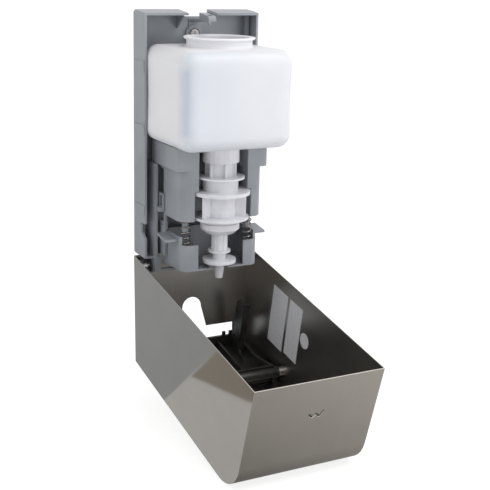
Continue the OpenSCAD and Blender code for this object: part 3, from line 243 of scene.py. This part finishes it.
def brushed_steel(name, outer, inner, side_rough, strip_rough, inner_rough, grain_mm, run_mm, wipe_mm,
                  middle):
    """Stainless sheet: polished side walls, a satin strip with long grain lines, and a duller inside."""
    finish, tree, shader, place = new_finish(name)
    lines = {}
    for wall, stretch in (("strip", (grain_mm, run_mm, run_mm)), ("side", (run_mm, run_mm, grain_mm))):
        lay = add_node(tree, "ShaderNodeMapping", links={"Vector": (place, "Object")},
                       values={"Scale": [per_metre(s) for s in stretch]})
        lines[wall] = add_node(tree, "ShaderNodeTexNoise", links={"Vector": (lay, "Vector")},
                               values={"Scale": 1.0, "Detail": 3.0})
    faces = add_node(tree, "ShaderNodeSeparateXYZ", links={"Vector": (place, "Normal")})
    sideways = math_node(tree, "ABSOLUTE", (faces, "X"))
    is_side = math_node(tree, "GREATER_THAN", (sideways, 0), SIDE_FACING)
    from_middle = add_node(tree, "ShaderNodeVectorMath", operation="SUBTRACT",
                           links={0: (place, "Object")}, values={1: middle})
    outward = add_node(tree, "ShaderNodeVectorMath", operation="DOT_PRODUCT",
                       links={0: (from_middle, 0), 1: (place, "Normal")})
    is_inner = math_node(tree, "LESS_THAN", (outward, "Value"), 0.0)
    grain = add_node(tree, "ShaderNodeMix", links={
        "Factor": (is_side, 0), "A": (lines["strip"], "Fac"), "B": (lines["side"], "Fac")})
    wipes = noise(tree, place, wipe_mm, 3.0)
    worn = add_node(tree, "ShaderNodeMix", values={"Factor": 0.5}, links={
        "A": (grain, "Result"), "B": (wipes, "Fac")})
    skins = [tone(tree, worn, "Result", *pair, 0.3, 0.7).outputs["Color"] for pair in (outer, inner)]
    colour = mix_colours(tree, is_inner.outputs[0], *skins)
    polish = add_node(tree, "ShaderNodeMix", values={"A": strip_rough, "B": side_rough},
                      links={"Factor": (is_side, 0)})
    gloss = add_node(tree, "ShaderNodeMix", values={"B": inner_rough},
                     links={"Factor": (is_inner, 0), "A": (polish, "Result")})
    streak = spread(tree, worn, "Result", -STREAK, STREAK)
    rough = math_node(tree, "ADD", (gloss, "Result"), (streak, "Result"))
    tree.links.new(colour, shader.inputs["Base Color"])
    tree.links.new(rough.outputs[0], shader.inputs["Roughness"])
    raise_pattern(tree, shader, grain, "Result", 0.12, 0.01)
    shader.inputs["Metallic"].default_value = 1.0
    return finish


def turned_metal(name, dark, light, rough):
    """Steel of small hardware: bright, with fine marks left by turning or drawing."""
    finish, tree, shader, place = new_finish(name)
    marks = noise(tree, place, 0.8, 3.0)
    colour = tone(tree, marks, "Fac", dark, light)
    gloss = spread(tree, marks, "Fac", rough * 0.7, rough * 1.3)
    tree.links.new(colour.outputs["Color"], shader.inputs["Base Color"])
    tree.links.new(gloss.outputs["Result"], shader.inputs["Roughness"])
    shader.inputs["Metallic"].default_value = 1.0
    return finish


def sticker_vinyl(name, dark, light, rough):
    """Matt vinyl with a bare face: nearly even, with a faint fibre."""
    finish, tree, shader, place = new_finish(name)
    fibre = noise(tree, place, 2.5, 4.0)
    colour = tone(tree, fibre, "Fac", dark, light)
    tree.links.new(colour.outputs["Color"], shader.inputs["Base Color"])
    raise_pattern(tree, shader, fibre, "Fac", 0.2, 0.02)
    shader.inputs["Roughness"].default_value = rough
    return finish


# Grey ABS from an eroded mould: satin, cool grey, nearly even
grey_abs = moulded("grey_moulded_abs", "#888c92", "#91959b", rough=0.36, grain_mm=0.5,
                   grain_depth_mm=0.03)
# White polypropylene of the pump: waxy, a little light soaks in
white_polypropylene = moulded("white_moulded_polypropylene", "#d4d4d9", "#dedee3", rough=0.34,
                              grain_mm=0.6, grain_depth_mm=0.02, drift_mm=12, soak=0.25, soak_mm=1.5)
# Cloudy blow moulded polyethylene: milky, soft highlights, and a painted shade that is slightly blue
cloudy_polyethylene = blown("blown_cloudy_polyethylene", "#e2e2e6", "#e6e6ea", "#c0c9d6", rough=0.4,
                            grain_mm=1.2, grain_depth_mm=0.04, soak=0.4, soak_mm=4)
# Glass filled nylon of the lever: nearly black, dull, with a coarse skin
black_nylon = moulded("black_glass_filled_nylon", "#262524", "#353433", rough=0.38, grain_mm=0.4,
                      grain_depth_mm=0.03, drift_mm=10)
# Nitrile rubber rings: dull black
nitrile_rubber = moulded("nitrile_rubber", "#161616", "#232323", rough=0.7, grain_mm=0.3,
                         grain_depth_mm=0.03, drift_mm=4)
# Dark nylon washers at the hinge
dark_nylon = moulded("dark_grey_nylon", "#303336", "#45494c", rough=0.5, grain_mm=0.4,
                     grain_depth_mm=0.03, drift_mm=5)
# Stainless sheet, polished over a fine grain: warm grey mirror outside, mill dull inside
cover_low, cover_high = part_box("cover_shell")
stainless_sheet = brushed_steel("polished_stainless_sheet", ("#bab6af", "#c3bfb8"), ("#b0ada9", "#bcb9b5"),
                                side_rough=0.07, strip_rough=0.3, inner_rough=0.3, grain_mm=0.3,
                                run_mm=70, wipe_mm=40, middle=(cover_low + cover_high) / 2)
# Zinc plated steel of pins, screws and rivets
plated_steel = turned_metal("zinc_plated_steel", "#8d8b88", "#c3c1bd", rough=0.3)
# Hard drawn spring wire: darker and bright lined
spring_wire = turned_metal("drawn_spring_wire", "#74706b", "#b5b0a8", rough=0.28)
# White vinyl of the stickers: matt and bare
vinyl = sticker_vinyl("matt_vinyl_sticker", "#d8dade", "#e1e2e6", rough=0.45)


# Geometry helpers

def sharp_above(name, degrees):
    """Nodes that smooth a mesh and keep its edges above an angle sharp."""
    tree = bpy.data.node_groups.new(name, "GeometryNodeTree")
    tree.interface.new_socket("Geometry", in_out="INPUT", socket_type="NodeSocketGeometry")
    tree.interface.new_socket("Geometry", in_out="OUTPUT", socket_type="NodeSocketGeometry")
    start = add_node(tree, "NodeGroupInput")
    smooth = add_node(tree, "GeometryNodeSetShadeSmooth", domain="FACE",
                      links={"Geometry": (start, "Geometry")}, values={"Shade Smooth": True})
    angle = add_node(tree, "GeometryNodeInputMeshEdgeAngle")
    is_sharp = add_node(tree, "FunctionNodeCompare", data_type="FLOAT", operation="GREATER_THAN",
                        links={"A": (angle, "Unsigned Angle")}, values={"B": math.radians(degrees)})
    sharp = add_node(tree, "GeometryNodeSetShadeSmooth", domain="EDGE", values={"Shade Smooth": False},
                     links={"Geometry": (smooth, "Geometry"), "Selection": (is_sharp, "Result")})
    add_node(tree, "NodeGroupOutput", links={"Geometry": (sharp, "Geometry")})
    return tree


SMOOTH_FACES = sharp_above("smooth_faces", SHARP_ABOVE)


def finish_edges(piece, width_mm, segments=2, flat_degrees=1.0):
    """Joins a CAD node's loose triangles, clears the flat ones and rounds its edges, all as modifiers.
    At 0 degrees none is cleared: the cover's front would crease at the corner of its opening."""
    weld = piece.modifiers.new("join", "WELD")
    weld.merge_threshold = WELD_GAP * MM
    if flat_degrees:
        flatten = piece.modifiers.new("flatten", "DECIMATE")
        flatten.decimate_type = "DISSOLVE"
        flatten.angle_limit = math.radians(flat_degrees)
    if width_mm:
        rounding = piece.modifiers.new("round", "BEVEL")
        rounding.width = width_mm * MM
        rounding.segments = segments
        rounding.limit_method = "ANGLE"
        rounding.angle_limit = math.radians(ROUND_ABOVE)
        rounding.use_clamp_overlap = True
        rounding.miter_outer = "MITER_ARC"
    shading = piece.modifiers.new("shade", "NODES")
    shading.node_group = SMOOTH_FACES
    flat_shade = piece.modifiers.new("flat_shade", "WEIGHTED_NORMAL")
    flat_shade.keep_sharp = True


def wear(names, finish, width_mm, **options):
    """Gives CAD nodes their finish and their rounded edges."""
    for name in names:
        piece = nodes[name]
        piece.data.materials.clear()
        piece.data.materials.append(finish)
        finish_edges(piece, width_mm, **options)


def mesh_piece(name, points, faces, finish):
    """A new mesh piece at the origin, smooth shaded."""
    mesh = bpy.data.meshes.new(name)
    mesh.from_pydata(points, [], faces)
    mesh.materials.append(finish)
    mesh.update()
    for face in mesh.polygons:
        face.use_smooth = True
    piece = bpy.data.objects.new(name, mesh)
    bpy.context.scene.collection.objects.link(piece)
    return piece


# Bottle: one closed skin of rings, up the outside, over the lip and down the inside, in millimetres

BOTTLE_SIDES = 240
BOTTLE_WALL = 1.4
BODY_H = 81
EDGE_R = 11
CORNER_R = 13.5
WAIST = 0.5
WALL_STEPS = 10
ROOF_STEPS = 4
# The filling neck stands on the body's roof and the outlet neck hangs below its floor
MOUTH_Y = -53.5
MOUTH_H = 8.5
# Rings of the necks: radius, and height over the roof, over the floor, or over the outlet's tip
MOUTH_RINGS = [(30.2, 0), (28.6, 0.3), (27.8, 1.1), (27.5, 2.4), (27.5, 5.6), (27.9, 6.3), (29.3, 6.6),
               (30, 7.2), (29.9, 8.2), (29.2, MOUTH_H), (25.6, MOUTH_H), (24.9, 8.2), (24.7, 7.4),
               (24.7, 0), (24.9, -1), (25.8, -BOTTLE_WALL)]
OUTLET_TIP = [(12.9, 0), (13.2, 0.4)]
OUTLET_ROOT = [(13.2, -2.2), (13.6, -0.9), (14.6, -0.2), (16, 0)]
INNER_ROOT = [(14.5, BOTTLE_WALL), (12.5, 1.1), (11.8, 0)]
INNER_TIP = [(11.7, 0.4), (12, 0)]
# Painted shade, slightly blue: a band down the front left corner and a weaker veil that fades over the front
BAND_SHIFT = 0.5
BAND_REACH = 15
VEIL = 0.55
VEIL_REACH = 125


def neck_rings(profile, centre_y, base):
    """Round rings of a neck, for each radius and height of its profile."""
    turns = [2 * math.pi * i / BOTTLE_SIDES for i in range(BOTTLE_SIDES)]
    return [[Vector((radius * math.cos(a), centre_y + radius * math.sin(a), base + height)) for a in turns]
            for radius, height in profile]


def box_ring(half_w, half_d, corner, centre_y, height):
    """A ring of points round a box with round corners, each where its own ray meets the wall."""
    ring = []
    for i in range(BOTTLE_SIDES):
        turn = 2 * math.pi * i / BOTTLE_SIDES
        c, s = math.cos(turn), math.sin(turn)
        reach = min(half_w / max(abs(c), 1e-9), half_d / max(abs(s), 1e-9))
        x, y = abs(c) * reach, abs(s) * reach
        cx, cy = half_w - corner, half_d - corner
        if x > cx and y > cy:
            along = abs(c) * cx + abs(s) * cy
            reach = along + math.sqrt(max(along * along - cx * cx - cy * cy + corner * corner, 0))
        ring.append(Vector((c * reach, centre_y + s * reach, height)))
    return ring


def between(first, last):
    """The rings that lie between two rings of the floor or the roof."""
    return [[a.lerp(b, k / ROOF_STEPS) for a, b in zip(first, last)] for k in range(1, ROOF_STEPS)]


def joined(parts):
    """Lists of rings as one list, with rings between each list and the next."""
    rings = list(parts[0])
    for part in parts[1:]:
        rings += between(rings[-1], part[0]) + part
    return rings


def share(value):
    """A number kept between 0 and 1."""
    return max(0.0, min(value, 1.0))


def bottle_skin():
    low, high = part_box("bottle")
    nut_low, nut_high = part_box("neck_nut")
    outlet_y = (nut_low.y + nut_high.y) / 2 / MM
    outlet_low = low.z / MM
    body_top = high.z / MM - MOUTH_H
    body_low = body_top - BODY_H
    half_w = (high.x - low.x) / 2 / MM
    half_d = (high.y - low.y) / 2 / MM
    centre_y = (high.y + low.y) / 2 / MM

    def wall(inset, height, thick):
        """A ring of the body, inset from its outer walls."""
        corner = max(CORNER_R - inset - thick / 2, 1)
        return box_ring(half_w - inset - thick, half_d - inset - thick, corner, centre_y, height)

    def body(thick):
        """Rings of the body from its floor to its roof, thick inside the outer skin."""
        floor, roof = body_low + thick, body_top - thick
        r = EDGE_R - thick
        rise = roof - floor - 2 * r
        bends = [math.radians(a) for a in range(0, 91, 10)]
        lower = [wall(r * (1 - math.sin(a)), floor + r * (1 - math.cos(a)), thick) for a in bends]
        walls = [wall(WAIST * math.sin(math.pi * k / WALL_STEPS) ** 2, floor + r + rise * k / WALL_STEPS,
                      thick) for k in range(1, WALL_STEPS)]
        upper = [wall(r * (1 - math.cos(a)), roof - r + r * math.sin(a), thick) for a in bends]
        return lower + walls + upper

    def painted_shade_share(p):
        """How much of the painted shade a point has."""
        across = p.x / MM + half_w
        round_corner = across - (p.y / MM - centre_y + half_d)
        inside = min(p.z / MM - body_low, body_top - p.z / MM)
        band = share(1 - abs(round_corner + BAND_SHIFT) / BAND_REACH) * share(inside / EDGE_R - 0.5)
        veil = VEIL * share(1 - across / VEIL_REACH) * share(1 + round_corner / CORNER_R) * share(inside)
        return max(band, veil)

    outlet = neck_rings(OUTLET_TIP, outlet_y, outlet_low) + neck_rings(OUTLET_ROOT, outlet_y, body_low)
    mouth = neck_rings(MOUTH_RINGS, MOUTH_Y, body_top)
    inner_outlet = neck_rings(INNER_ROOT, outlet_y, body_low) + neck_rings(INNER_TIP, outlet_y, outlet_low)
    rings = joined([outlet, body(0), mouth, body(BOTTLE_WALL)[::-1], inner_outlet])
    points = [p * MM for ring in rings for p in ring]
    faces = []
    for k in range(len(rings)):
        here, there = k * BOTTLE_SIDES, (k + 1) % len(rings) * BOTTLE_SIDES
        for i in range(BOTTLE_SIDES):
            j = (i + 1) % BOTTLE_SIDES
            faces.append((here + i, here + j, there + j, there + i))
    piece = mesh_piece("bottle_skin", points, faces, cloudy_polyethylene)
    # Each point stores how much painted shade the bottle gets there
    painted_shade = piece.data.attributes.new("painted_shade", "FLOAT", "POINT")
    for mark, p in zip(painted_shade.data, points):
        mark.value = painted_shade_share(p)
    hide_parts("bottle")
    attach(piece, "frame")


# Springs: a wire wound by geometry nodes, with closed end coils, in millimetres

SPRING_TURNS = 11.0
WIRE_R = 0.55
WIRE_STEPS = 300
WIRE_SIDES = 10
# Each end has this many closed turns, and lies this many wire widths high
CLOSED_TURNS = 1.2
CLOSED_WIDTHS = 1.1


def coil_tree():
    """Nodes that wind a wire: its two ends rise slowly and its middle takes up the rest of the height."""
    tree = bpy.data.node_groups.new("wound_wire", "GeometryNodeTree")
    tree.interface.new_socket("Geometry", in_out="OUTPUT", socket_type="NodeSocketGeometry")
    for name in ("Coil Radius", "Wire Radius", "Height", "Turns", "Closed Height", "Closed Share"):
        tree.interface.new_socket(name, in_out="INPUT", socket_type="NodeSocketFloat")
    tree.interface.new_socket("Place", in_out="INPUT", socket_type="NodeSocketVector")
    tree.interface.new_socket("Finish", in_out="INPUT", socket_type="NodeSocketMaterial")
    given = add_node(tree, "NodeGroupInput")
    line = add_node(tree, "GeometryNodeCurvePrimitiveLine")
    points = add_node(tree, "GeometryNodeResampleCurve", mode="COUNT", links={"Curve": (line, "Curve")},
                      values={"Count": WIRE_STEPS})
    along = add_node(tree, "GeometryNodeSplineParameter")
    turned = math_node(tree, "MULTIPLY", (along, "Factor"), (given, "Turns"))
    angle = math_node(tree, "MULTIPLY", (turned, 0), 2 * math.pi)
    cosine = math_node(tree, "COSINE", (angle, 0))
    sine = math_node(tree, "SINE", (angle, 0))
    x = math_node(tree, "MULTIPLY", (cosine, 0), (given, "Coil Radius"))
    y = math_node(tree, "MULTIPLY", (sine, 0), (given, "Coil Radius"))
    far_share = math_node(tree, "SUBTRACT", 1.0, (given, "Closed Share"))
    first = add_node(tree, "ShaderNodeMapRange", links={
        "Value": (along, "Factor"), "From Max": (given, "Closed Share"), "To Max": (given, "Closed Height")})
    last = add_node(tree, "ShaderNodeMapRange", links={
        "Value": (along, "Factor"), "From Min": (far_share, 0), "To Max": (given, "Closed Height")})
    both_ends = math_node(tree, "MULTIPLY", (given, "Closed Height"), -2.0)
    open_height = math_node(tree, "ADD", (given, "Height"), (both_ends, 0))
    middle = add_node(tree, "ShaderNodeMapRange", links={
        "Value": (along, "Factor"), "From Min": (given, "Closed Share"), "From Max": (far_share, 0),
        "To Max": (open_height, 0)})
    ends = math_node(tree, "ADD", (first, "Result"), (last, "Result"))
    z = math_node(tree, "ADD", (ends, 0), (middle, "Result"))
    spot = add_node(tree, "ShaderNodeCombineXYZ", links={"X": (x, 0), "Y": (y, 0), "Z": (z, 0)})
    placed = add_node(tree, "ShaderNodeVectorMath", operation="ADD",
                      links={0: (spot, 0), 1: (given, "Place")})
    coil = add_node(tree, "GeometryNodeSetPosition", links={
        "Geometry": (points, "Curve"), "Position": (placed, 0)})
    section = add_node(tree, "GeometryNodeCurvePrimitiveCircle", mode="RADIUS",
                       values={"Resolution": WIRE_SIDES}, links={"Radius": (given, "Wire Radius")})
    wire = add_node(tree, "GeometryNodeCurveToMesh", values={"Fill Caps": True}, links={
        "Curve": (coil, "Geometry"), "Profile Curve": (section, "Curve")})
    smooth = add_node(tree, "GeometryNodeSetShadeSmooth", links={"Geometry": (wire, "Mesh")})
    real = add_node(tree, "GeometryNodeRealizeInstances", links={"Geometry": (smooth, "Geometry")})
    dressed = add_node(tree, "GeometryNodeSetMaterial", links={
        "Geometry": (real, "Geometry"), "Material": (given, "Finish")})
    add_node(tree, "NodeGroupOutput", links={"Geometry": (dressed, "Geometry")})
    return tree


def grown(name, tree, inputs):
    """Runs a tree with its inputs set by name, and keeps the result as a plain mesh."""
    maker = bpy.data.objects.new(name + "_maker", bpy.data.meshes.new(name))
    bpy.context.scene.collection.objects.link(maker)
    modifier = maker.modifiers.new("make", "NODES")
    modifier.node_group = tree
    sockets = {s.name: s.identifier for s in tree.interface.items_tree if s.in_out == "INPUT"}
    for key, value in inputs.items():
        modifier[sockets[key]] = value
    bpy.context.view_layer.update()
    evaluated = maker.evaluated_get(bpy.context.evaluated_depsgraph_get())
    mesh = bpy.data.meshes.new_from_object(evaluated)
    mesh.name = name
    bpy.data.objects.remove(maker)
    piece = bpy.data.objects.new(name, mesh)
    bpy.context.scene.collection.objects.link(piece)
    return piece


def carriage_springs():
    tree = coil_tree()
    wire_r = WIRE_R * MM
    for node in ("spring_left", "spring_right"):
        low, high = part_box(node)
        height = high.z - low.z
        place = Vector(((low.x + high.x) / 2, (low.y + high.y) / 2, low.z + wire_r))
        piece = grown(node + "_coil", tree, {
            "Coil Radius": (high.y - low.y) / 2 - wire_r, "Wire Radius": wire_r,
            "Height": height - 2 * wire_r, "Turns": SPRING_TURNS,
            "Closed Height": CLOSED_WIDTHS * 2 * wire_r, "Closed Share": CLOSED_TURNS / SPRING_TURNS,
            "Place": place, "Finish": spring_wire})
        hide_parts(node)
        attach(piece, "frame")
        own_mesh(piece)


# Studio

# Soft lamps: name, place and edge in metres, and watts
LAMPS = [("key_softbox", (0.8, -1.2, 2.0), 1.3, 23),
         ("left_softbox", (-1.4, -0.5, 0.9), 1.0, 4),
         ("right_softbox", (1.1, -1.6, 0.35), 1.2, 8)]
WORLD_LIGHT = 0.65
# The floor's edge, its distance under the part and the step from card to card, in metres
FLOOR_EDGE = 60
FLOOR_GAP = 0.001
CARD_STEP = 0.0002
# The floor's paint, and its paint and own light where a camera or a mirror sees it
FLOOR_PAINT = "#fbfbfb"
FLOOR_SEEN = "#a4a4a4"
FLOOR_GLOW = 0.75
# What the cover's outer faces mirror: corners on the floor in millimetres, first and last colour, and
# the points between which the first fades into the last
ROOM_CARDS = [
    ("wide_card", [(-2500, 1500), (-2500, -2500), (2500, -2500), (2500, 1500)],
     "#bdbdbd", "#bdbdbd", (0, 0), (0, -100)),
    ("back_left_card", [(-60, -42), (-600, 475), (-600, 1200), (200, 1200), (200, 60), (-20, 0)],
     "#9a9c9f", "#94989b", (0, 1000), (-200, 0)),
    ("dark_left_card", [(-123, 15), (-230, 122), (-230, -105), (-146, -63)],
     "#827c73", "#7c756b", (-123, 15), (-230, -105)),
    ("front_card", [(-56, -195), (-56, -420), (400, -420), (400, -195)],
     "#767472", "#d4d2ce", (-48, -215), (108, -410))]


def make_camera():
    yaw, pitch, roll = (math.radians(a) for a in (CAMERA_YAW, CAMERA_PITCH, CAMERA_ROLL))
    forward = Vector((math.sin(yaw) * math.cos(pitch), math.cos(yaw) * math.cos(pitch), -math.sin(pitch)))
    level = Vector((math.cos(yaw), -math.sin(yaw), 0))
    upright = level.cross(forward)
    right = math.cos(roll) * level + math.sin(roll) * upright
    up = math.cos(roll) * upright - math.sin(roll) * level
    camera = bpy.data.objects.new("camera", bpy.data.cameras.new("camera"))
    turn = Matrix((right, up, -forward)).transposed().to_4x4()
    camera.matrix_world = Matrix.Translation(CAMERA_PLACE) @ turn
    camera.data.lens = CAMERA_LENS
    camera.data.sensor_width = SENSOR_WIDTH
    camera.data.clip_start = CLIP_START
    camera.data.clip_end = CLIP_END
    bpy.context.scene.collection.objects.link(camera)
    bpy.context.scene.camera = camera


def seen_rays(tree):
    """1 for rays from the camera, a mirror or glass, and 0 for the light itself."""
    rays = add_node(tree, "ShaderNodeLightPath")
    shown = math_node(tree, "MAXIMUM", (rays, "Is Camera Ray"), (rays, "Is Glossy Ray"))
    return math_node(tree, "MAXIMUM", (shown, 0), (rays, "Is Transmission Ray"))


def make_world():
    """White all round where it is seen, and a plain level of light on the part."""
    world = bpy.data.worlds.new("studio")
    world.use_nodes = True
    bpy.context.scene.world = world
    tree = world.node_tree
    tree.nodes.clear()
    strength = add_node(tree, "ShaderNodeMapRange", links={"Value": (seen_rays(tree), 0)},
                        values={"To Min": WORLD_LIGHT, "To Max": 1.0})
    white = add_node(tree, "ShaderNodeBackground", values={"Color": (1, 1, 1, 1)},
                     links={"Strength": (strength, "Result")})
    add_node(tree, "ShaderNodeOutputWorld", links={"Surface": (white, "Background")})


def soft_lamp(name, place, aim, size, watts):
    lamp = bpy.data.lights.new(name, "AREA")
    lamp.shape = "SQUARE"
    lamp.size = size
    lamp.energy = watts
    holder = bpy.data.objects.new(name, lamp)
    holder.matrix_world = Matrix.Translation(place) @ (
        (Vector(aim) - Vector(place)).to_track_quat("-Z", "Y").to_matrix().to_4x4())
    bpy.context.scene.collection.objects.link(holder)


def make_floor(height):
    """The white floor, lit by the lamps and, as a camera or a mirror sees it, also bright by itself."""
    mesh = bpy.data.meshes.new("floor")
    half = FLOOR_EDGE / 2
    corners = [(-half, -half), (half, -half), (half, half), (-half, half)]
    mesh.from_pydata([(x, y, height) for x, y in corners], [], [(0, 1, 2, 3)])
    plane = bpy.data.objects.new("floor", mesh)
    finish, tree, shader, _ = new_finish("floor_paint")
    seen = seen_rays(tree)
    paint = mix_colours(tree, seen.outputs[0], FLOOR_PAINT, FLOOR_SEEN)
    own_light = add_node(tree, "ShaderNodeMapRange", links={"Value": (seen, 0)},
                         values={"To Min": 0.0, "To Max": FLOOR_GLOW})
    tree.links.new(paint, shader.inputs["Base Color"])
    tree.links.new(own_light.outputs["Result"], shader.inputs["Emission Strength"])
    shader.inputs["Emission Color"].default_value = (1, 1, 1, 1)
    shader.inputs["Roughness"].default_value = 0.9
    mesh.materials.append(finish)
    bpy.context.scene.collection.objects.link(plane)


def mirror_card(name, corners, height, first, last, start, end):
    """A card over the floor that only mirrors see: it stands for the room, and fades from start to end."""
    mesh = bpy.data.meshes.new(name)
    mesh.from_pydata([(x * MM, y * MM, height) for x, y in corners], [], [tuple(range(len(corners)))])
    card = bpy.data.objects.new(name, mesh)
    finish, tree, shader, place = new_finish(name + "_paint")
    way = (Vector(end) - Vector(start)) * MM
    from_start = add_node(tree, "ShaderNodeVectorMath", operation="SUBTRACT",
                          links={0: (place, "Object")}, values={1: (*(Vector(start) * MM), 0)})
    along = add_node(tree, "ShaderNodeVectorMath", operation="DOT_PRODUCT", links={0: (from_start, 0)},
                     values={1: (*(way / way.length_squared), 0)})
    fade = tone(tree, along, "Value", first, last, 0.0, 1.0)
    tree.links.new(fade.outputs["Color"], shader.inputs["Emission Color"])
    shader.inputs["Base Color"].default_value = (0, 0, 0, 1)
    shader.inputs["Emission Strength"].default_value = 1.0
    mesh.materials.append(finish)
    for kind in ("camera", "diffuse", "shadow", "transmission", "volume_scatter"):
        setattr(card, "visible_" + kind, False)
    bpy.context.scene.collection.objects.link(card)


def make_studio():
    low, high = cad_box
    middle = (low + high) / 2
    floor_z = low.z - FLOOR_GAP
    make_floor(floor_z)
    make_world()
    for name, place, size, watts in LAMPS:
        soft_lamp(name, place, middle, size, watts)
    for level, (name, corners, *paint) in enumerate(ROOM_CARDS, start=1):
        mirror_card(name, corners, floor_z + CARD_STEP * level, *paint)


# Making

make_camera()
wear(GREY_MOULDINGS, grey_abs, MOULD_EDGE)
wear(WHITE_MOULDINGS, white_polypropylene, TURNED_EDGE)
wear(["cover_shell"], stainless_sheet, SHEET_EDGE, segments=1, flat_degrees=0)
wear(SHEET_PARTS, stainless_sheet, SHEET_EDGE, segments=1)
wear(TURNED_STEEL, plated_steel, TURNED_EDGE)
wear(["outlet_spring"], spring_wire, 0)
wear(RUBBER_RINGS, nitrile_rubber, TURNED_EDGE)
wear(["pin_washers"], dark_nylon, TURNED_EDGE)
wear(["push_lever"], black_nylon, LEVER_EDGE)
wear(STICKERS, vinyl, 0)
bottle_skin()
carriage_springs()
make_studio()

bpy.context.scene.view_settings.view_transform = "Standard"
